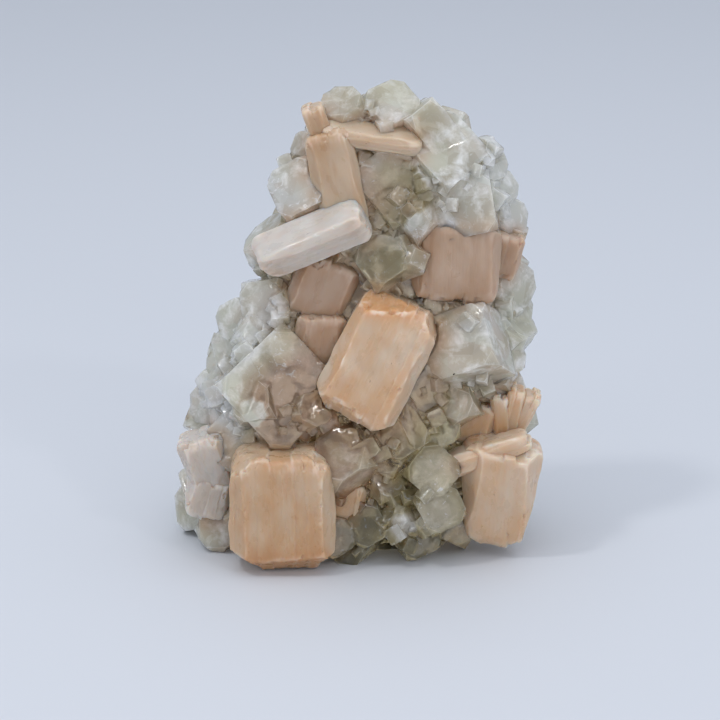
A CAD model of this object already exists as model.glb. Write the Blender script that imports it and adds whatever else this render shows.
from math import cos, pi, radians, sin

import bmesh
import bpy
import numpy as np
from mathutils import Euler, Matrix, Vector
from mathutils.bvhtree import BVHTree


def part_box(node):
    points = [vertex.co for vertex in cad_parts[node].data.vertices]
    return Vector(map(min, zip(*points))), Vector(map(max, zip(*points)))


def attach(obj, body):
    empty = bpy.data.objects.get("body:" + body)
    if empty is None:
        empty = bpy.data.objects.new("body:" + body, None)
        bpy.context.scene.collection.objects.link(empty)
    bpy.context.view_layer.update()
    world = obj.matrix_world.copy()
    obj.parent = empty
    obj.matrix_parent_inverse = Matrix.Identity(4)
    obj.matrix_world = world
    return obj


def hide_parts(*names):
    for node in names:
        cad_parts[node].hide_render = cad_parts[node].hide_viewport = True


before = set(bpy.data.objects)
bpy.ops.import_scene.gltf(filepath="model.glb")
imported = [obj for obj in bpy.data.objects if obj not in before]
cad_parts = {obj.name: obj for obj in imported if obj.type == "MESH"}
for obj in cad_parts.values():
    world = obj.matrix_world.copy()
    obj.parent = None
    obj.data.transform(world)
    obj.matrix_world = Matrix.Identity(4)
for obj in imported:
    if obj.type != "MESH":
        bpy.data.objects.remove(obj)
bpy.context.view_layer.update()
mm = 0.001  # every size below is in millimetres, the meshes are in metres


# colour and node helpers

def linear(hexColour, alpha=1.0):
    # sRGB hex to the linear values that the shaders take
    parts = [int(hexColour[i:i + 2], 16) / 255 for i in (1, 3, 5)]
    return tuple(c / 12.92 if c <= 0.04045 else ((c + 0.055) / 1.055) ** 2.4 for c in parts) + (alpha,)


def addNode(tree, kind, settings=None, inputs=None):
    # one node with its settings, and its inputs given as values or as the sockets that feed them
    node = tree.nodes.new(kind)
    for key, value in (settings or {}).items():
        setattr(node, key, value)
    for key, value in (inputs or {}).items():
        if isinstance(value, bpy.types.NodeSocket):
            tree.links.new(value, node.inputs[key])
        else:
            node.inputs[key].default_value = value
    return node


def blankMaterial(name):
    material = bpy.data.materials.new(name)
    material.use_nodes = True
    material.node_tree.nodes.clear()
    return material, material.node_tree


def mixColour(tree, factor, a, b):
    # sockets 0, 6 and 7 of the mix node are the factor and the two colours
    return addNode(tree, "ShaderNodeMix", {"data_type": "RGBA"}, {0: factor, 6: a, 7: b}).outputs[2]


def ramp(tree, value, low, high, bottom=0.0, top=1.0):
    # bottom below low, top above high, and straight between them
    node = addNode(tree, "ShaderNodeMapRange", {"clamp": True}, {
        "Value": value, "From Min": low, "From Max": high, "To Min": bottom, "To Max": top})
    return node.outputs["Result"]


def mathNode(tree, operation, *values, clamp=False):
    settings = {"operation": operation, "use_clamp": clamp}
    return addNode(tree, "ShaderNodeMath", settings, dict(enumerate(values))).outputs[0]


def attributeOf(tree, name, output="Fac"):
    return addNode(tree, "ShaderNodeAttribute", {"attribute_name": name}).outputs[output]


def bumpOf(tree, height, strength, depth, **more):
    # the normal bent by a height pattern, depth in mm
    node = addNode(tree, "ShaderNodeBump", None, {
        "Height": height, "Strength": strength, "Distance": depth * mm, **more})
    return node.outputs["Normal"]


def perMm(size):
    # the texture scale that gives a feature of that many millimetres
    return 1 / (size * mm)


def noiseAt(tree, where, size, detail, roughness=0.5, distortion=0.0):
    return addNode(tree, "ShaderNodeTexNoise", None, {
        "Vector": where, "Scale": perMm(size), "Detail": detail, "Roughness": roughness,
        "Distortion": distortion}).outputs["Fac"]


def cellValue(tree, where, size, channel, distance="EUCLIDEAN", randomness=1.0):
    # one number for each cell of that many millimetres: a channel of the cell's random colour
    cells = addNode(tree, "ShaderNodeTexVoronoi", {"distance": distance}, {
        "Vector": where, "Scale": perMm(size), "Randomness": randomness})
    parts = addNode(tree, "ShaderNodeSeparateColor", None, {"Color": cells.outputs["Color"]})
    return parts.outputs[channel]


# numpy helpers

def ripple(points, size, seed, waves=9):
    # a smooth field from -1 to 1, size mm from crest to crest: the mean of sines in seeded directions
    rng = np.random.default_rng(seed)
    directions = rng.normal(size=(waves, 3))
    directions /= np.linalg.norm(directions, axis=1)[:, None]
    lengths = size * rng.uniform(0.7, 1.6, waves)
    phases = rng.uniform(0, 2 * pi, waves)
    return np.sin(points @ (directions * (2 * pi / lengths)[:, None]).T + phases).mean(axis=1) * 1.6


def lamellaValue(index, seed):
    # a repeatable number from -1 to 1 for each whole number: the fraction of a large sine
    raw = np.sin(index * 12.9898 + seed * 78.233) * 43758.5453
    return 2 * (raw - np.floor(raw)) - 1


def closedGridFaces(rows, columns):
    # quads of a grid that closes round its columns, for rows between two poles
    r, c = np.meshgrid(np.arange(rows - 1), np.arange(columns), indexing="ij")
    nextColumn = (c + 1) % columns
    return np.stack([r * columns + c, r * columns + nextColumn,
                     (r + 1) * columns + nextColumn, (r + 1) * columns + c], axis=-1).reshape(-1, 4)


def meshObject(name, points, faces, attributes=None):
    # points in mm to a mesh object in metres, with float or vector attributes on its points
    mesh = bpy.data.meshes.new(name)
    mesh.from_pydata((points * mm).tolist(), [], faces)
    for key, values in (attributes or {}).items():
        kind = "FLOAT_VECTOR" if values.ndim == 2 else "FLOAT"
        layer = mesh.attributes.new(key, kind, "POINT")
        layer.data.foreach_set("vector" if values.ndim == 2 else "value", values.astype(np.float32).ravel())
    mesh.update()
    piece = bpy.data.objects.new(name, mesh)
    bpy.context.scene.collection.objects.link(piece)
    return piece


def smoothUnder(mesh, degrees):
    # smooth shading, with edges sharper than the angle kept crisp
    mesh.polygons.foreach_set("use_smooth", np.ones(len(mesh.polygons), dtype=bool))
    mesh.set_sharp_from_angle(angle=radians(degrees))


def united(name, pieces):
    # one closed surface of pieces that overlap, joined one by one: light inside it meets no inner wall
    whole, *others = pieces
    for other in others:
        union = whole.modifiers.new("union", "BOOLEAN")
        union.operation = "UNION"
        union.solver = "MANIFOLD"
        union.object = other
        evaluated = whole.evaluated_get(bpy.context.evaluated_depsgraph_get())
        mesh = bpy.data.meshes.new_from_object(evaluated)
        bpy.data.objects.remove(whole)
        bpy.data.objects.remove(other)
        whole = bpy.data.objects.new(name, mesh)
        bpy.context.scene.collection.objects.link(whole)
    whole.name = whole.data.name = name
    return whole


def cadMesh(node):
    # a merged copy of a node's solid as a bmesh
    shape = bmesh.new()
    shape.from_mesh(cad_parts[node].data)
    bmesh.ops.remove_doubles(shape, verts=shape.verts, dist=0.0002 * mm)
    return shape


def solidTree(*nodes):
    # a tree that finds the nearest point on the solids of the nodes
    shape = bmesh.new()
    for node in nodes:
        shape.from_mesh(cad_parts[node].data)
    tree = BVHTree.FromBMesh(shape)
    shape.free()
    return tree


def pointsAndNormals(mesh):
    # one row for each point of the mesh, the places in mm
    rows = []
    for key in ("co", "normal"):
        values = np.empty(len(mesh.vertices) * 3)
        mesh.vertices.foreach_get(key, values)
        rows.append(values.reshape(-1, 3))
    return rows[0] / mm, rows[1]


def finishPiece(piece, material, slotName, *nodes):
    piece.data.materials.clear()
    piece.data.materials.append(material)
    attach(piece, "root")
    if nodes:
        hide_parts(*nodes)


# materials

crystalLook = {
    "clear": "#E2E3E0", "green": "#D8D7C6", "warm": "#CA9D74", "olive": "#B8A666", "grey": "#D8CBBF",
    "milk": "#F4F4F2", "dim": "#AEA793", "blush": "#DDB088", "white": "#FFFFFF",
    "ior": 1.535, "transmission": 0.36, "absorb": "#E0D6B4", "density": 14.0, "glow": 5.5,
    "sink": (1.0, 0.96, 0.88),
    # each noise: its size in mm, detail, roughness and distortion
    "patch": (22.0, 1.0), "hue": (26.0, 0.0, 0.5, 0.2), "veil": (3.4, 4.0, 0.62, 0.35),
    "feather": (1.9, 6.0, 0.7, 1.6), "rim": (6.0, 2.0), "grain": (0.5, 3.0),
    # each pattern of cells: its size in mm and the channel that is read, for the growth steps also their shape
    "cell": (8.0, "Red"), "smallCell": (4.5, "Green"), "growth": (3.2, "Red", "CHEBYCHEV", 0.8),
    # strength of each bump, and its depth in mm
    "grainBump": (0.35, 0.08), "growthBump": (0.5, 0.16),
    # what hollows, clouds and worn edges add to the transmission
    "clearer": 0.55, "cloudy": -0.15, "scuffed": -0.1,
    # from and to of a pattern's value, and what it gives at those two
    "patchRamp": (0.4, 0.6), "hueRamp": (0.4, 0.52), "greyRamp": (0.3, 0.9, 0.0, 0.5),
    "dimRamp": (0.35, 0.9, 0.0, 0.4), "cloudRamp": (0.48, 0.7, 0.0, 0.9),
    "featherRamp": (0.58, 0.66, 0.0, 0.85), "flawRamp": (0.46, 0.56, 0.15, 1.0),
    "rimRamp": (0.48, 0.6, 0.0, 0.22), "roughRamp": (0.3, 0.75, 0.035, 0.154),
}


def apophylliteMaterial(look):
    # apophyllite, natural growth faces: glassy to pearly, clear in places and clouded by veils, so light
    # goes in and comes back soft; pale on the proud faces, warm or olive in the hollows, peach beside the
    # stilbites, white along the worn edges, with low growth steps; IOR 1.535
    material, tree = blankMaterial("apophyllite growth faces")
    where = addNode(tree, "ShaderNodeTexCoord").outputs["Object"]
    recess, blush, edge = (attributeOf(tree, name) for name in ("recess", "blush", "edge"))
    patch, hue, veil, feather, rim, grain = (
        noiseAt(tree, where, *look[key]) for key in ("patch", "hue", "veil", "feather", "rim", "grain"))
    grey, dim, terrace = (cellValue(tree, where, *look[key]) for key in ("cell", "smallCell", "growth"))
    cloud = ramp(tree, veil, *look["cloudRamp"])
    deep = mixColour(tree, ramp(tree, hue, *look["hueRamp"]), linear(look["warm"]), linear(look["olive"]))
    flaw = mathNode(
        tree, "MULTIPLY", ramp(tree, feather, *look["featherRamp"]), ramp(tree, patch, *look["flawRamp"]))
    worn = mathNode(tree, "MULTIPLY", edge, ramp(tree, rim, *look["rimRamp"]))
    colour = mixColour(
        tree, ramp(tree, patch, *look["patchRamp"]), linear(look["green"]), linear(look["clear"]))
    for share, over in (
            (ramp(tree, grey, *look["greyRamp"]), linear(look["grey"])),
            (ramp(tree, dim, *look["dimRamp"]), linear(look["dim"])),
            (cloud, linear(look["milk"])), (recess, deep), (blush, linear(look["blush"])),
            (flaw, linear(look["white"])), (worn, linear(look["white"]))):
        colour = mixColour(tree, share, colour, over)
    clearness = mathNode(tree, "MULTIPLY_ADD", cloud, look["cloudy"], look["transmission"])
    clearness = mathNode(tree, "MULTIPLY_ADD", recess, look["clearer"], clearness)
    clearness = mathNode(tree, "MULTIPLY_ADD", edge, look["scuffed"], clearness, clamp=True)
    fine = bumpOf(tree, grain, *look["grainBump"])
    stepped = bumpOf(tree, terrace, *look["growthBump"], Normal=fine)
    shader = addNode(tree, "ShaderNodeBsdfPrincipled", {"subsurface_method": "RANDOM_WALK"}, {
        "Base Color": colour, "Roughness": ramp(tree, veil, *look["roughRamp"]), "IOR": look["ior"],
        "Transmission Weight": clearness, "Subsurface Weight": 1.0, "Subsurface Radius": look["sink"],
        "Subsurface Scale": look["glow"] * mm, "Normal": stepped})
    inside = addNode(tree, "ShaderNodeVolumeAbsorption", None, {
        "Color": linear(look["absorb"]), "Density": look["density"]})
    addNode(tree, "ShaderNodeOutputMaterial", None, {
        "Surface": shader.outputs[0], "Volume": inside.outputs[0]})
    return material


stilbiteLooks = {
    "peach": {"body": "#C9A682", "deep": "#C99360", "haze": "#CFBBA5", "rim": 0.6, "rough": 0.36},
    "honey": {"body": "#C09A73", "deep": "#B98554", "haze": "#C6AE93", "rim": 0.35, "rough": 0.36},
    "buff": {"body": "#B3906C", "deep": "#A8794D", "haze": "#C2AD95", "rim": 0.35, "rough": 0.4},
    "white": {"body": "#C0B2A4", "deep": "#C29A7A", "haze": "#CAC3BB", "rim": 0.45, "rough": 0.34},
    "pink": {"body": "#A88566", "deep": "#906642", "haze": "#B59C87", "rim": 0.2, "rough": 0.42},
}

stilbiteGrain = {
    "worn": "#F6EFE7", "speck": "#6A4E36", "ior": 1.5, "glow": 3.2, "sink": (1.0, 0.66, 0.44),
    "coat": 0.2, "coatRoughness": 0.2, "fibreBump": (0.4, 0.12),
    # repeats per mm of each pattern across, through and along the blades
    "haze": (0.13, 0.11, 0.07), "streak": (0.4, 0.34, 0.08), "fibre": (2.6, 2.0, 0.36),
    "spots": (0.6, 0.6, 0.3), "torn": (2.6, 2.6, 2.0), "sheen": (0.5, 0.5, 0.3),
    # from and to of a pattern's value, and what it gives at those two
    "hazeRamp": (0.4, 0.62, 0.0, 0.8), "streakRamp": (0.54, 0.76, 0.0, 0.42),
    "fibreRamp": (0.5, 0.75, 0.0, 0.12), "endRamp": (0.4, 0.6, 0.75, 1.0),
    "speckRamp": (0.2, 0.26, 1.0, 0.0), "chosenRamp": (0.5, 0.9, 0.0, 0.8),
    "sheenRamp": (0.35, 0.65), "smoother": 0.16, "rougher": 0.12, "ragged": 0.34,
}


def stilbiteMaterial(name, look, grain):
    # stilbite, grown in sheaves: waxy to pearly, light sinks well in; whitish haze and orange streaks lie
    # along the blades, the ends are deeper orange, worn edges pale, with scattered dark specks; IOR 1.50
    material, tree = blankMaterial(f"stilbite {name} pearly sheaf")
    along = attributeOf(tree, "grain", "Vector")
    tip, edge, pale = (attributeOf(tree, key) for key in ("tip", "edge", "pale"))

    def stretched(key, detail=None):
        # a pattern in the sheaf's own millimetres, drawn out along the blades: noise, or cells
        at = addNode(tree, "ShaderNodeMapping", None, {"Vector": along, "Scale": grain[key]})
        inputs = {"Vector": at.outputs[0], "Scale": 1.0}
        if detail is None:
            return addNode(tree, "ShaderNodeTexVoronoi", None, inputs)
        return addNode(tree, "ShaderNodeTexNoise", None, {**inputs, "Detail": detail}).outputs["Fac"]

    haze, streak, fibre = stretched("haze", 5.0), stretched("streak", 4.0), stretched("fibre", 5.0)
    spots, torn, sheen = stretched("spots"), stretched("torn", 3.0), stretched("sheen", 3.0)
    hazy = mathNode(tree, "ADD", pale, ramp(tree, haze, *grain["hazeRamp"]), clamp=True)
    endTint = mathNode(tree, "MULTIPLY", tip, ramp(tree, fibre, *grain["endRamp"]))
    paler = mathNode(tree, "MULTIPLY", edge, look["rim"])
    ragged = mathNode(tree, "MULTIPLY_ADD", torn, grain["ragged"], spots.outputs["Distance"])
    chosen = addNode(tree, "ShaderNodeSeparateColor", None, {"Color": spots.outputs["Color"]})
    shown = ramp(tree, chosen.outputs["Green"], *grain["chosenRamp"])
    speck = mathNode(tree, "MULTIPLY", ramp(tree, ragged, *grain["speckRamp"]), shown)
    colour = linear(look["body"])
    for share, over in (
            (hazy, look["haze"]), (ramp(tree, streak, *grain["streakRamp"]), look["deep"]),
            (ramp(tree, fibre, *grain["fibreRamp"]), look["haze"]), (endTint, look["deep"]),
            (paler, grain["worn"]), (speck, grain["speck"])):
        colour = mixColour(tree, share, colour, linear(over))
    rough = ramp(
        tree, sheen, *grain["sheenRamp"], look["rough"] - grain["smoother"], look["rough"] + grain["rougher"])
    shader = addNode(tree, "ShaderNodeBsdfPrincipled", {"subsurface_method": "RANDOM_WALK"}, {
        "Base Color": colour, "Roughness": rough, "IOR": grain["ior"], "Subsurface Weight": 1.0,
        "Subsurface Radius": grain["sink"], "Subsurface Scale": grain["glow"] * mm,
        "Coat Weight": grain["coat"], "Coat Roughness": grain["coatRoughness"],
        "Normal": bumpOf(tree, fibre, *grain["fibreBump"])})
    addNode(tree, "ShaderNodeOutputMaterial", None, {"Surface": shader.outputs[0]})
    return material


# apophyllite mass

atOnce = 2000  # points compared with all the others in one step, so that the arrays stay small


def skinSamples(count, seed, node="apophyllite"):
    # seeded spots spread evenly over the solid's skin, with the normals there, in mm
    rng = np.random.default_rng(seed)
    source = cadMesh(node)
    bmesh.ops.triangulate(source, faces=source.faces)
    corners = np.array([[v.co[:] for v in f.verts] for f in source.faces]) / mm
    source.free()
    cross = np.cross(corners[:, 1] - corners[:, 0], corners[:, 2] - corners[:, 0])
    area = np.linalg.norm(cross, axis=1) / 2
    pick = rng.choice(len(corners), count, p=area / area.sum())
    a, b = np.sqrt(rng.random(count)), rng.random(count)
    shares = np.stack([1 - a, a * (1 - b), a * b], axis=-1)
    return (corners[pick] * shares[..., None]).sum(axis=1), cross[pick] / (2 * area[pick])[:, None]


def hollowness(points, normals, others, reach):
    # how much the skin within reach stands above a point's own tangent plane: high between the crystals
    values = []
    for start in range(0, len(points), atOnce):
        gap = others[None] - points[start:start + atOnce, None]
        close = (gap ** 2).sum(axis=2) < reach ** 2
        above = np.einsum("ijk,ik->ij", gap, normals[start:start + atOnce])
        values.append((above * close).sum(axis=1) / np.maximum(close.sum(axis=1), 1) / reach)
    return np.concatenate(values)


def nearness(points, others, reach):
    # 1 at the other points, and falling to 0 away from them like a bell of that reach
    nearest = [((others[None] - points[start:start + atOnce, None]) ** 2).sum(axis=2).min(axis=1)
               for start in range(0, len(points), atOnce)]
    return np.exp(-np.concatenate(nearest) / reach ** 2)


# crystals on the face that stand out in colour: x and z of the middle, how far each reaches, and its tint,
# where 1 is the palest and -1 the warmest
crystalTints = np.array([
    (16.7, 76, 7, 1), (6.8, 82, 5, 0.9), (20.5, 67, 6.5, 0.85), (12, 65.5, 4, 0.8), (-9.6, 69.4, 7, 1),
    (28.5, 49, 6, 0.9), (21.3, 41, 7.5, 0.75), (27.6, 36.6, 4, 0.6), (20, 30.4, 3.6, 0.5),
    (14.4, 18.6, 4.6, 0.35), (15.6, 11.8, 4.6, 0.4), (8.9, 8.6, 3, 0.9), (-18.2, 31, 4, 1),
    (-21.6, 43, 4.5, 0.9), (-16.8, 48, 4.5, 0.9), (-27.2, 26, 6, 0.9), (-24.8, 34.6, 4, 0.8),
    (-1.9, 20, 5, 0.35), (-28.5, 6, 6, 0.5), (31, 24, 4, 0.9), (-14.2, 33, 8.5, -0.55), (8, 70, 7, -0.6),
    (5.4, 56.6, 5, -0.3), (13.3, 26.6, 5, -0.2), (15, 33.5, 4, -0.2)])

# the warm area: its middle and half width in mm, how much it narrows with height, where it fades upwards,
# the hollowness at which the warmth starts and over which it grows, and the share of each cause
warmArea = {"middle": 3, "halfWidth": 36, "narrows": 0.24, "fade": 1.25, "fadeHeight": 95, "shallow": 0.02,
            "deeper": 0.28, "hollowShare": 0.6, "innerShare": 0.75, "front": 6}


def warmth(points, hollow, area):
    # the warm tint of the clear crystals: strong in the hollows and in the middle of the face, where the
    # light has passed by the stilbites, less at the outline and the top; then each telling crystal's tint
    halfWidth = area["halfWidth"] - area["narrows"] * points[:, 2]
    across = np.clip(np.abs(points[:, 0] - area["middle"]) / halfWidth, 0, 1)
    inner = (1 - across ** 3) * np.clip(area["fade"] - points[:, 2] / area["fadeHeight"], 0, 1)
    deep = np.clip((hollow - area["shallow"]) / area["deeper"], 0, 1)
    warm = np.clip(area["hollowShare"] * deep + area["innerShare"] * inner, 0, 1)
    far = ((points[:, None, (0, 2)] - crystalTints[None, :, :2]) ** 2).sum(axis=2) / crystalTints[:, 2] ** 2
    nearest = far.argmin(axis=1)
    tint = np.clip(2 - 2 * far[np.arange(len(points)), nearest], 0, 1) * crystalTints[nearest, 3]
    tint *= points[:, 1] < area["front"]
    return np.where(tint > 0, warm * (1 - tint), warm - tint * (1 - warm))


# edge: the bevel's width in mm; sharper: degrees from which an edge is bevelled; ripples: size and depth in mm
# of each field, sunk by a share of its depth; blush, hug: what a stilbite within reach does to the skin
massShape = {
    "edge": 0.1, "sharper": 22, "snap": 0.2, "longest": 1.3, "splits": 5, "crisp": 24,
    "ripples": [(7.0, 0.13), (2.2, 0.016)], "sunk": 0.6, "chip": 0.4, "chipSize": 2.4, "chipFrom": 0.25,
    "flatBase": 1.5, "reach": 7.0, "samples": 1500,
    "blush": 0.75, "blushReach": 2.4, "blushSamples": 180,
    "hugReach": 0.9, "hugOver": 0.12, "hugNearest": 0.05, "ownSkin": 0.4,
}


def hugged(points, shape):
    # points of the solid's own skin that lie within reach of a stilbite move up to it and a little over, as
    # the crystals of the real piece are grown against the sheaves
    skin, stilbites = solidTree("apophyllite"), solidTree(*sheaves)
    depth = np.array([skin.find_nearest(Vector(p * mm))[3] for p in points]) / mm
    found = [stilbites.find_nearest(Vector(p * mm)) for p in points]
    near = np.array([f[0][:] for f in found]) / mm
    far = np.array([f[3] for f in found]) / mm
    share = np.clip((shape["hugReach"] - far) / (shape["hugReach"] * 0.5), 0, 1)
    share *= (1 + shape["hugOver"] / np.maximum(far, shape["hugNearest"])) * (depth < shape["ownSkin"])
    return points + (near - points) * share[:, None]


def apophylliteMass(shape, crystals):
    # the solid joined with the small crystals, its outer edges bevelled, long edges split, and every point
    # moved along its normal by a shallow sine field, so that no growth face is dead flat. The bevels are
    # marked as worn
    solid = bpy.data.objects.new("apophyllite_solid", bpy.data.meshes.new("apophyllite_solid"))
    bpy.context.scene.collection.objects.link(solid)
    bm = cadMesh("apophyllite")
    bm.to_mesh(solid.data)
    bm.free()
    piece = united("apophyllite_crystals", [solid] + crystals)
    bm = bmesh.new()
    bm.from_mesh(piece.data)
    original = BVHTree.FromBMesh(bm)
    bmesh.ops.dissolve_limit(bm, angle_limit=radians(0.5), verts=bm.verts, edges=bm.edges)
    worn = bm.faces.layers.float.new("edge")
    ridges = [edge for edge in bm.edges
              if edge.is_manifold and edge.calc_face_angle_signed(0) > radians(shape["sharper"])]
    made = bmesh.ops.bevel(bm, geom=ridges, offset=shape["edge"] * mm, offset_type="OFFSET", segments=1,
                           affect="EDGES", clamp_overlap=False)
    for face in made["faces"]:
        face[worn] = 1.0
    for vert in bm.verts:
        # a corner that the bevel threw too far goes back to the surface
        spot, _, _, distance = original.find_nearest(vert.co)
        if distance > shape["snap"] * mm:
            vert.co = spot
    bmesh.ops.triangulate(bm, faces=bm.faces)
    for _ in range(shape["splits"]):
        long = [e for e in bm.edges if e.calc_length() > shape["longest"] * mm]
        if long:
            bmesh.ops.subdivide_edges(bm, edges=long, cuts=1, use_grid_fill=False)
            bmesh.ops.triangulate(bm, faces=bm.faces)
    onEdge = np.array([max((face[worn] for face in vert.link_faces), default=0) for vert in bm.verts])
    mesh = piece.data
    bm.to_mesh(mesh)
    bm.free()
    points, normals = pointsAndNormals(mesh)
    lift = sum(depth * (ripple(points, size, 5 + index) - shape["sunk"])
               for index, (size, depth) in enumerate(shape["ripples"]))
    chips = np.clip(ripple(points, shape["chipSize"], 8, 14) - shape["chipFrom"], 0, 1)
    lift -= shape["chip"] * onEdge * chips
    lift *= np.clip(points[:, 2] / shape["flatBase"], 0, 1)  # the cut base stays flat
    points = hugged(points + normals * lift[:, None], shape)
    mesh.vertices.foreach_set("co", (points * mm).ravel())
    mesh.update()
    return piece


def tintMass(piece, shape):
    # each point's warmth, from its hollow and its place on the face, and the blush of a stilbite close by
    mesh = piece.data
    points, normals = pointsAndNormals(mesh)
    around, _ = skinSamples(shape["samples"], 3)
    beside = np.concatenate([skinSamples(shape["blushSamples"], 4, node)[0] for node in sheaves])
    tints = {"recess": warmth(points, hollowness(points, normals, around, shape["reach"]), warmArea),
             "blush": shape["blush"] * nearness(points, beside, shape["blushReach"])}
    for key, values in tints.items():
        layer = mesh.attributes.new(key, "FLOAT", "POINT")
        layer.data.foreach_set("value", values.astype(np.float32))
    smoothUnder(mesh, shape["crisp"])


# stilbite sheaves: centre, turns and sizes repeat the solids, a facet is (direction, share of the box's
# reach, and how deeply it takes the colour of a broken end)

block = [((-0.72, -0.66, 0), 0.84), ((0.78, -0.62, 0), 0.86),
         ((-0.72, 0.66, 0), 0.84), ((0.78, 0.62, 0), 0.86)]
sheaves = {
    "stilbite_center": {"look": "peach", "slot": "stilbite", "forms": [
        {"at": (4.5, -8.4, 39.6), "lean": 26, "nod": -6, "twist": -8, "length": 26.6, "width": 17.6,
         "thick": 14, "endStep": 0.2, "fan": -0.04, "belly": 0.03, "facets": block + [
             ((0.74, -0.1, 0.66), 0.78, 0.35), ((-0.3, -0.5, 0.8), 0.74, 0.8), ((-0.75, -0.1, 0.62), 0.86),
             ((-0.7, -0.15, -0.7), 0.82), ((0.62, -0.1, -0.78), 0.84), ((-0.1, -0.7, -0.7), 0.84, 0.3)]},
    ]},
    "stilbite_lower_left": {"look": "honey", "slot": "stilbite", "forms": [
        {"at": (-13.6, -14.4, 11.2), "lean": -1, "length": 26, "width": 20, "thick": 15.5, "fan": -0.02,
         "belly": 0.05, "facets": block + [
             ((-0.62, -0.3, 0.72), 0.8), ((0.8, -0.1, 0.6), 0.9), ((0.1, -0.62, 0.78), 0.9, 0.45),
             ((0.05, -0.66, -0.75), 0.78, 0.8), ((-0.6, -0.25, -0.76), 0.74), ((0.72, -0.2, -0.66), 0.8)]},
        {"at": (-1.8, -9.5, 10.8), "lean": 8, "length": 10, "width": 8, "thick": 8, "fan": 0.05, "belly": 0.1,
         "facets": block},
    ]},
    "stilbite_lower_right": {"look": "peach", "slot": "stilbite", "forms": [
        {"at": (27.2, -8.6, 12.4), "lean": 4, "nod": 4, "length": 22, "width": 13, "thick": 12, "fan": 0.2,
         "belly": 0.06, "facets": block + [
             ((-0.6, -0.2, -0.78), 0.78), ((0.6, -0.2, -0.78), 0.8), ((0.1, -0.5, 0.86), 0.88)]},
        {"at": (25.4, -11.6, 21.6), "lean": 69, "length": 16, "width": 4.2, "thick": 7, "fan": -0.1,
         "belly": 0.05, "facets": block},
        {"at": (27.6, -4.8, 27.0), "lean": -4, "nod": 8, "length": 11, "width": 3.4, "thick": 6,
         "facets": block},
        {"at": (29.6, -4.6, 27.6), "lean": 10, "nod": 8, "length": 12, "width": 3.4, "thick": 6,
         "facets": block},
        {"at": (31.6, -4.4, 27.0), "lean": 24, "nod": 8, "length": 11, "width": 3.4, "thick": 5.5,
         "facets": block},
        {"at": (22.4, -4.6, 26), "lean": 18, "length": 9, "width": 8, "thick": 6, "fan": 0.1, "belly": 0.08,
         "facets": block},
    ]},
    "stilbite_white_blade": {"look": "white", "slot": "white_stilbite", "forms": [
        {"at": (-8, -5.6, 62.8), "lean": 65, "twist": 32, "length": 23.4, "width": 7, "thick": 9.5,
         "fan": 0.06, "belly": 0.04, "facets": block + [
             ((0.5, -0.3, -0.8), 0.84, 0.5), ((-0.4, -0.2, 0.9), 0.9)]},
    ]},
    "stilbite_upper_left": {"look": "buff", "slot": "stilbite", "forms": [
        {"at": (-3.4, -2.6, 71.6), "lean": -13, "nod": -4, "length": 21, "width": 9, "thick": 9, "fan": 0.06,
         "belly": 0.05, "facets": block + [((0.5, -0.4, 0.77), 0.86)]},
        {"at": (-7, -0.6, 81.6), "lean": -20, "length": 10, "width": 4.4, "thick": 6, "facets": block},
        {"at": (3.2, -1.6, 80), "lean": 98, "twist": 14, "length": 19, "width": 3.2, "thick": 8, "pale": 0.8,
         "facets": block},
    ]},
    "stilbite_right": {"look": "pink", "slot": "pink_stilbite", "forms": [
        {"at": (18.8, -2.2, 56.6), "lean": 2, "nod": -10, "length": 15.5, "width": 17, "thick": 8,
         "fan": 0.03, "belly": 0.03, "facets": block},
        {"at": (28.2, 1.2, 57.4), "lean": 14, "length": 9, "width": 7, "thick": 7, "fan": 0.08,
         "facets": block},
    ]},
    "stilbite_mid_left": {"look": "pink", "slot": "pink_stilbite", "forms": [
        {"at": (-6.2, -2.4, 52), "lean": 20, "length": 13.5, "width": 12, "thick": 8, "fan": 0.08,
         "belly": 0.08, "facets": block},
        {"at": (-6.6, -5, 40.6), "lean": 8, "length": 13.5, "width": 9.6, "thick": 8, "fan": 0.08,
         "belly": 0.08, "facets": block},
    ]},
    "stilbite_left_edge": {"look": "white", "slot": "white_stilbite", "forms": [
        {"at": (-28.2, -5.4, 17.8), "lean": -16, "nod": 6, "length": 12.8, "width": 9.5, "thick": 8,
         "fan": 0.14, "belly": 0.06, "facets": block},
        {"at": (-28.2, -5.6, 10.6), "lean": 14, "length": 9.4, "width": 9.5, "thick": 6.5, "fan": 0.14,
         "belly": 0.06, "facets": block},
    ]},
}

# step: mm between grid points round a sheaf, longer: times that along it; boxy, endBoxy: the powers of the
# two curves; every size: mm from crest to crest; every depth, wander, stria, bump and chip: mm; edgeFrom,
# edgeSpan: the bend of the grid at which an edge starts and over which it grows; border: how sharply it pales
sheafSkin = {
    "step": 0.24, "longer": 1.6, "boxy": 8.0, "endBoxy": 7.0, "wander": 0.2, "wanderSize": 7, "tipFade": 3.0,
    "lamella": 2.3, "lamellaDepth": 0.1, "lamellaBend": 0.3, "endStep": 0.5, "endFrom": 0.6, "endSpan": 0.35,
    "stria": 0.012, "striaTurn": 9, "pits": 14, "pitDepth": 0.2, "pitSize": (0.12, 0.6),
    "bump": 0.45, "bumpSize": 9, "fineBump": 0.4, "fineSize": 2.6,
    "edgeFrom": 0.1, "edgeSpan": 0.16, "edgeWear": 0.7, "chip": 0.6, "chipSize": 2.2, "chipSharp": 3,
    "border": 3.6, "borderSize": 6, "borderPale": 0.8, "merge": 0.004, "crisp": 32,
}


def roundedSquare(angle, power):
    # the point of |a|^power + |b|^power = 1 in that direction: even spacing along a boxy curve
    a, b = np.cos(angle), np.sin(angle)
    reach = (np.abs(a) ** power + np.abs(b) ** power) ** (-1 / power)
    return a * reach, b * reach


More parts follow.
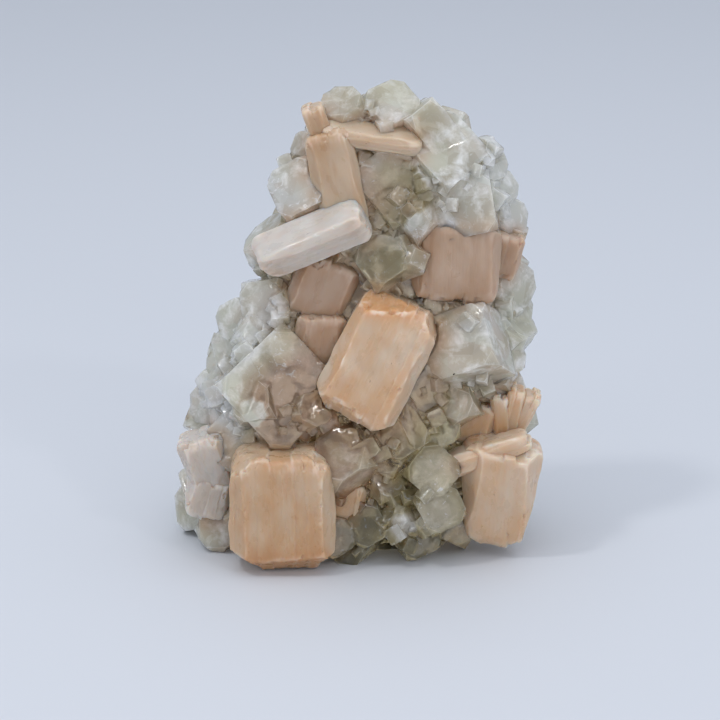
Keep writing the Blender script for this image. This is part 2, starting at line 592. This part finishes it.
def sheafForm(form, skin, seed):
    # two angles: u runs round the sheaf, w from its foot to its top. The section is a boxy superellipse,
    # the outline along the length another; fan widens the top, belly the middle. Each facet plane then
    # flattens what stands past it, and a facet with a tint is coloured like a broken end
    columns = int(2 * (form["width"] + form["thick"]) / skin["step"])
    rows = int((form["length"] + min(form["width"], form["thick"])) / skin["step"] / skin["longer"])
    u = np.arange(columns) * 2 * pi / columns + 1e-3
    w = np.linspace(-pi / 2, pi / 2, rows)
    ringX, ringY = roundedSquare(u, skin["boxy"])
    girth, rise = roundedSquare(w, skin["endBoxy"])
    half = np.array([form["width"], form["thick"], form["length"]]) / 2
    widen = (1 + form.get("fan", 0) * rise + form.get("belly", 0) * (0.5 - rise ** 2)) * girth
    p = np.stack([half[0] * np.outer(widen, ringX), half[1] * np.outer(widen, ringY),
                  half[2] * np.outer(rise, np.ones(columns))], axis=-1).reshape(-1, 3)
    p[:, :2] += skin["wander"] * np.stack([
        ripple(p, skin["wanderSize"], seed), ripple(p, skin["wanderSize"], seed + 1)], axis=-1)
    tip = np.zeros(len(p))
    for direction, share, *tint in form["facets"]:
        normal = np.array(direction) / np.linalg.norm(direction)
        past = p @ normal - share * (np.abs(normal) @ half)
        p -= np.maximum(past, 0)[:, None] * normal
        if tint:
            # the colour fades over tipFade mm from the facet inwards
            tip = np.maximum(tip, tint[0] * np.clip(1 + past / skin["tipFade"], 0, 1) ** 1.5)
    return p, half, tip, (rows, columns)


def sheafSurface(form, skin, seed):
    # the sheaf's form with its skin: every lamella, a strip of equal x, gets its own small step outwards
    # and its own length, then fine striae, pits and a slow unevenness; the edges, where the grid bends, are
    # chipped and worn
    p, half, tip, (rows, columns) = sheafForm(form, skin, seed)
    bent = skin["lamellaBend"] * ripple(p * (1, 1, 0.25), 8, seed + 2)
    lamella = np.floor(p[:, 0] / skin["lamella"] + bent)
    side = np.clip(p[:, 1] / half[1] * 3, -1, 1)
    ends = np.clip((np.abs(p[:, 2]) / half[2] - skin["endFrom"]) / skin["endSpan"], 0, 1) * np.sign(p[:, 2])
    p[:, 1] += side * skin["lamellaDepth"] * lamellaValue(lamella, seed)
    p[:, 2] += ends * form.get("endStep", skin["endStep"]) * (lamellaValue(lamella, seed + 9) - 0.5)
    stria = np.sin(p[:, 0] * skin["striaTurn"] + 2 * ripple(p * (1, 1, 0.15), 5, seed + 3))
    p[:, 1] += side * skin["stria"] * stria
    rng = np.random.default_rng(seed + 4)
    for spot in p[rng.integers(0, len(p), skin["pits"])]:
        near = np.exp(-((p - spot) ** 2 * (1, 1, 0.25)).sum(axis=1) / rng.uniform(*skin["pitSize"]))
        p *= 1 - (skin["pitDepth"] * rng.uniform(0.3, 1) * near / np.linalg.norm(spot))[:, None]
    uneven = ripple(p, skin["bumpSize"], seed + 5) + skin["fineBump"] * ripple(p, skin["fineSize"], seed + 6)
    p *= 1 + (skin["bump"] * uneven / np.linalg.norm(half))[:, None]
    grid = p.reshape(rows, columns, 3)
    around = (np.roll(grid, 2, axis=1) + np.roll(grid, -2, axis=1)) / 2 - grid
    lengthwise = np.zeros_like(grid)
    lengthwise[2:-2] = (grid[4:] + grid[:-4]) / 2 - grid[2:-2]
    bend = np.linalg.norm(around + lengthwise, axis=2).ravel()
    edge = np.clip((bend - skin["edgeFrom"]) / skin["edgeSpan"], 0, 1)
    outward = p / np.linalg.norm(p, axis=1)[:, None]
    chips = np.clip(ripple(p, skin["chipSize"], seed + 7, 14) * skin["chipSharp"] - 0.6, 0, 1)
    p -= outward * (skin["chip"] * edge * chips)[:, None]
    worn = edge * np.clip(0.5 + ripple(p, 4, seed + 8), 0, 1) * skin["edgeWear"]
    return p, closedGridFaces(rows, columns), tip, worn


def turned(form):
    degrees = [radians(form.get(key, 0)) for key in ("lean", "nod", "twist")]
    lean, nod, twist = (Matrix.Rotation(a, 3, axis) for a, axis in zip(degrees, "YXZ"))
    return np.array(lean @ nod @ twist)


def stilbitePiece(node, group, skin, seed):
    # the node's sheaves, each turned to its place, fitted together to the solid's box, then joined
    parts = []
    for index, form in enumerate(group["forms"]):
        p, quads, tip, edge = sheafSurface(form, skin, seed + 20 * index)
        # the borders are paler than the middle, in patches
        reach = np.abs(p[:, (0, 2)]) / np.array([form["width"] / 2, form["length"] / 2])
        border = np.clip(reach.max(axis=1) * skin["border"] - (skin["border"] - 1), 0, 1)
        border *= np.clip(0.6 + ripple(p, skin["borderSize"], seed + 9), 0, 1)
        parts.append((p @ turned(form).T + form["at"], quads, {
            "grain": p + 31.0 * index,  # each sheaf reads another place of the patterns
            "tip": tip, "edge": edge, "pale": form.get("pale", 0) + skin["borderPale"] * border}))
    everything = np.concatenate([points for points, _, _ in parts])
    low, high = (np.array(corner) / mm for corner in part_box(node))
    mine = everything.min(axis=0), everything.max(axis=0)
    pieces = []
    for points, quads, attributes in parts:
        fitted = low + (points - mine[0]) * (high - low) / (mine[1] - mine[0])
        piece = meshObject(f"{node}_part", fitted, quads.tolist(), attributes)
        shape = bmesh.new()
        shape.from_mesh(piece.data)
        bmesh.ops.remove_doubles(shape, verts=shape.verts, dist=skin["merge"] * mm)
        bmesh.ops.recalc_face_normals(shape, faces=shape.faces)
        shape.to_mesh(piece.data)
        shape.free()
        pieces.append(piece)
    whole = united(f"{node}_sheaf", pieces)
    smoothUnder(whole.data, skin["crisp"])
    return whole


# the small druse crystals between the large ones, and the fillers, larger ones on the sides and the back

# tries: seeded spots; keep: how many are taken; small, large: widths in mm; clear: mm kept from a stilbite;
# near: mm over which a hollow is measured; deep: how hollow a spot has to be; sink: how far a crystal
# stands out; shown, crowd: how much the face and the crowds draw; apart: room between two; behind: the
# foremost y in mm
druse = {"tries": 9000, "keep": 640, "small": 1.3, "large": 4.0, "clear": 0.05, "near": 5.0, "deep": 0.03,
         "sink": 0.02, "seed": 11, "shown": 0.12, "crowd": 0.25, "apart": 0.62, "behind": -99}
fillers = {"tries": 3000, "keep": 110, "small": 4.5, "large": 9.5, "clear": 2.0, "near": 9.0, "deep": 0.0,
           "sink": -0.12, "seed": 12, "shown": 0.0, "crowd": 0.0, "apart": 0.7, "behind": 1.0}
# base: the height in mm where they start; front: the y in mm up to which crowds count; crowded, flat: how
# strong a crowd has to be and how flat the skin there; scatter, tilt: of the choice and of the axes;
# deeper, taller: against the width; setRoom, wall: room between two of a set, and mm kept from the sides of
# the solid's box
druseRules = {"base": 2.2, "front": 8, "crowded": 0.5, "flat": -0.05, "scatter": 0.08, "tilt": 0.35,
              "deeper": (0.8, 1.2), "taller": (0.9, 1.5), "setRoom": 1.1, "wall": 0.05}
# where the small crystals crowd on the face: x and z of the middle, and how far it reaches
druseCrowds = np.array([
    (5.4, 13.5, 6), (24.5, 32.5, 4), (25, 77, 6), (-28, 31, 6), (16.5, 5, 7), (-26, 8, 7), (-14.4, 50, 4),
    (1, 54, 4), (-13, 75, 5), (31, 64, 5), (4, 24, 5), (8, 4, 8), (-22, 40, 4), (-20, 25, 3), (-11, 26, 4),
    (19, 47.5, 4), (-1, 27.5, 4), (14, 35, 3), (-4, 47, 3), (9, 68, 3), (-9, 77, 3), (1, 85, 4), (30, 44, 4)])


def crystalTemplate():
    # a unit block along z whose top corners are cut: eight points in the top ring, four shoulders, four at
    # the foot, and its faces, every one wound so that it looks outwards
    cut, steep = 0.36, 0.3
    square = ((1, 1), (-1, 1), (-1, -1), (1, -1))
    ring = []
    for x, y in square:
        pair = [(x * (1 - cut), y), (x, y * (1 - cut))]
        ring += pair[::-1] if x * y > 0 else pair
    points = np.concatenate([
        np.c_[np.array(ring) / 2, np.full(8, 0.5)], np.c_[np.array(square) / 2, np.full(4, 0.5 - steep)],
        np.c_[np.array(square) / 2, np.full(4, -0.5)]])
    faces = [[0, 1, 2, 3, 4, 5, 6, 7]]
    for corner in range(4):
        following = (corner + 1) % 4
        left, right, shoulder, foot = 2 * corner, 2 * corner + 1, 8 + corner, 12 + corner
        faces.append([left, shoulder, right])
        faces.append([right, shoulder, 8 + following, 2 * following])
        faces.append([shoulder, foot, 12 + following, 8 + following])
    faces.append([15, 14, 13, 12])
    for index, face in enumerate(faces):
        a, b, c = points[face[:3]]
        if np.cross(b - a, c - a) @ a < 0:
            faces[index] = face[::-1]
    return points, faces


def druseSpots(shape, rules, rng):
    # seeded spots on the solid's skin that lie low between their neighbours or in a crowd, the best first,
    # each at some distance from those taken before it: the places, the normals there and the crystals'
    # widths
    spots, normals = skinSamples(shape["tries"], shape["seed"])
    hollow = hollowness(spots, normals, spots[:2000], shape["near"])
    stilbites = solidTree(*sheaves)
    distance = np.array([stilbites.find_nearest(Vector(s * mm))[3] for s in spots]) / mm
    raised = spots[:, 2] > rules["base"]
    free = (distance > shape["clear"]) & raised & (hollow > shape["deep"])
    crowd = ((spots[:, None, (0, 2)] - druseCrowds[None, :, :2]) ** 2).sum(axis=2) / druseCrowds[:, 2] ** 2
    crowd = np.exp(-crowd.min(axis=1)) * (spots[:, 1] < rules["front"])
    free |= (crowd > rules["crowded"]) & (hollow > rules["flat"]) & raised
    free &= spots[:, 1] > shape["behind"]
    score = hollow + rng.normal(0, rules["scatter"], len(hollow))
    score = score - shape["shown"] * normals[:, 1] + shape["crowd"] * crowd
    size = shape["small"] + (shape["large"] - shape["small"]) * rng.random(len(score)) ** 2
    chosen = []
    for index in np.argsort(-score):
        if free[index] and len(chosen) < shape["keep"]:
            gap = np.linalg.norm(spots[chosen] - spots[index], axis=1)
            if (gap > shape["apart"] * (size[chosen] + size[index]) / 2).all():
                chosen.append(index)
    return spots[chosen], normals[chosen], size[chosen]


def setsApart(spots, size, room):
    # each crystal joins the first set in which none comes near it, so that the crystals of a set stay apart
    sets = []
    for index, spot in enumerate(spots):
        for members in sets:
            if (np.linalg.norm(spots[members] - spot, axis=1) > room * (size[members] + size[index])).all():
                members.append(index)
                break
        else:
            sets.append([index])
    return sets


def druseCrystals(shape, rules):
    # a small cut-cornered block at each spot, that points along the skin's normal, more or less
    rng = np.random.default_rng(shape["seed"])
    spots, normals, size = druseSpots(shape, rules, rng)
    axis = normals + rng.normal(0, rules["tilt"], normals.shape)
    axis /= np.linalg.norm(axis, axis=1)[:, None]
    side = np.cross(axis, rng.normal(size=axis.shape))
    side /= np.linalg.norm(side, axis=1)[:, None]
    third = np.cross(axis, side)
    template, templateFaces = crystalTemplate()
    stretch = np.stack([size, size * rng.uniform(*rules["deeper"], len(size)),
                        size * rng.uniform(*rules["taller"], len(size))], axis=-1)
    local = template[None] * stretch[:, None, :]
    world = sum(local[..., k:k + 1] * way[:, None] for k, way in enumerate((side, third, axis)))
    world += (spots + normals * (size * shape["sink"])[:, None])[:, None]
    low, high = (np.array(corner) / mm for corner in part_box("apophyllite"))
    inside = ((world > low + rules["wall"]) & (world < high - rules["wall"])).all(axis=(1, 2))
    world, spots, size = world[inside], spots[inside], size[inside]
    pieces = []
    for members in setsApart(spots, size, rules["setRoom"]):
        faces = [[v + len(template) * k for v in face] for k in range(len(members)) for face in templateFaces]
        piece = meshObject("apophyllite_druse", world[members].reshape(-1, 3), faces)
        bm = bmesh.new()
        bm.from_mesh(piece.data)
        bmesh.ops.triangulate(bm, faces=bm.faces)
        bm.to_mesh(piece.data)
        bm.free()
        pieces.append(piece)
    print(len(world), "druse crystals in", len(pieces), "sets")
    return pieces


# stage, light and camera

stageLook = {"floor": "#D0D3D9", "rough": 0.7, "tooth": (10 / 9, 2.0), "toothBump": (0.05, 0.05), "size": 3.0,
             "world": "#C6CDD8", "worldStrength": 0.9}


def studio(look):
    points = np.array([(-1, -1, 0), (1, -1, 0), (1, 1, 0), (-1, 1, 0)]) * look["size"] / 2 / mm
    floor = meshObject("floor", points, [(0, 1, 2, 3)])
    material, tree = blankMaterial("seamless paper")
    where = addNode(tree, "ShaderNodeTexCoord").outputs["Object"]
    bent = bumpOf(tree, noiseAt(tree, where, *look["tooth"]), *look["toothBump"])
    shader = addNode(tree, "ShaderNodeBsdfPrincipled", None, {
        "Base Color": linear(look["floor"]), "Roughness": look["rough"], "Normal": bent})
    addNode(tree, "ShaderNodeOutputMaterial", None, {"Surface": shader.outputs[0]})
    floor.data.materials.append(material)
    world = bpy.data.worlds.new("studio")
    bpy.context.scene.world = world
    world.use_nodes = True
    background = world.node_tree.nodes["Background"]
    background.inputs["Color"].default_value = linear(look["world"])
    background.inputs["Strength"].default_value = look["worldStrength"]


def areaLight(name, place, aim, size, power, colour):
    data = bpy.data.lights.new(name, "AREA")
    data.shape = "DISK"
    data.size = size
    data.energy = power
    data.color = linear(colour)[:3]
    light = bpy.data.objects.new(name, data)
    light.location = place
    light.rotation_euler = (Vector(aim) - Vector(place)).to_track_quat("-Z", "Y").to_euler()
    bpy.context.scene.collection.objects.link(light)


# each lamp's place, aim and size in metres, its power in watts and its colour
lamps = {
    "overhead": ((0.06, 0.02, 0.8), (0, 0, 0.04), 1.1, 2.9, "#F8FAFF"),
    "front fill": ((0.25, -0.8, 0.16), (0, 0, 0.03), 0.6, 1.4, "#FFFAF4"),
    "left strip": ((-0.55, -0.6, 0.35), (0, 0, 0.04), 0.16, 0.35, "#FBFCFF"),
    "window": ((-0.3, -0.2, 0.6), (0, 0, 0.05), 0.08, 0.7, "#FFFFFF"),
    "side window": ((0.4, -0.5, 0.5), (0, 0, 0.05), 0.06, 0.4, "#FFFFFF"),
}

view = {"tilt": 18, "distance": 0.55, "perPixel": 0.19, "pixels": 720, "sensor": 36, "nearest": 0.01,
        "across": 0.76, "up": 34.2, "faceY": -5}


def camera(settings):
    # the face is seen from a little above by a long lens; perPixel is the size in mm of one pixel
    tilt = radians(settings["tilt"])
    target = Vector((settings["across"] * mm, 0, settings["up"] / cos(tilt) * mm))
    data = bpy.data.cameras.new("camera")
    data.sensor_width = settings["sensor"]
    away = settings["distance"] + settings["faceY"] * mm
    data.lens = data.sensor_width * away / (settings["perPixel"] * settings["pixels"] * mm)
    data.clip_start = settings["nearest"]
    eye = bpy.data.objects.new("camera", data)
    eye.location = target + settings["distance"] * Vector((0, -cos(tilt), sin(tilt)))
    eye.rotation_euler = Euler((pi / 2 - tilt, 0, 0))
    bpy.context.scene.collection.objects.link(eye)
    bpy.context.scene.camera = eye


camera(view)
studio(stageLook)
for name, setting in lamps.items():
    areaLight(name, *setting)
bpy.context.scene.view_settings.view_transform = "Standard"
print("stage and camera set")

crystal = apophylliteMaterial(crystalLook)
mass = apophylliteMass(massShape, druseCrystals(druse, druseRules) + druseCrystals(fillers, druseRules))
tintMass(mass, massShape)
finishPiece(mass, crystal, "apophyllite", "apophyllite")
print("apophyllite made,", len(mass.data.polygons), "faces")
looks = {name: stilbiteMaterial(name, look, stilbiteGrain) for name, look in stilbiteLooks.items()}
for number, (node, group) in enumerate(sheaves.items()):
    piece = stilbitePiece(node, group, sheafSkin, 100 * number + 7)
    finishPiece(piece, looks[group["look"]], group["slot"], node)
    print(node, "made")
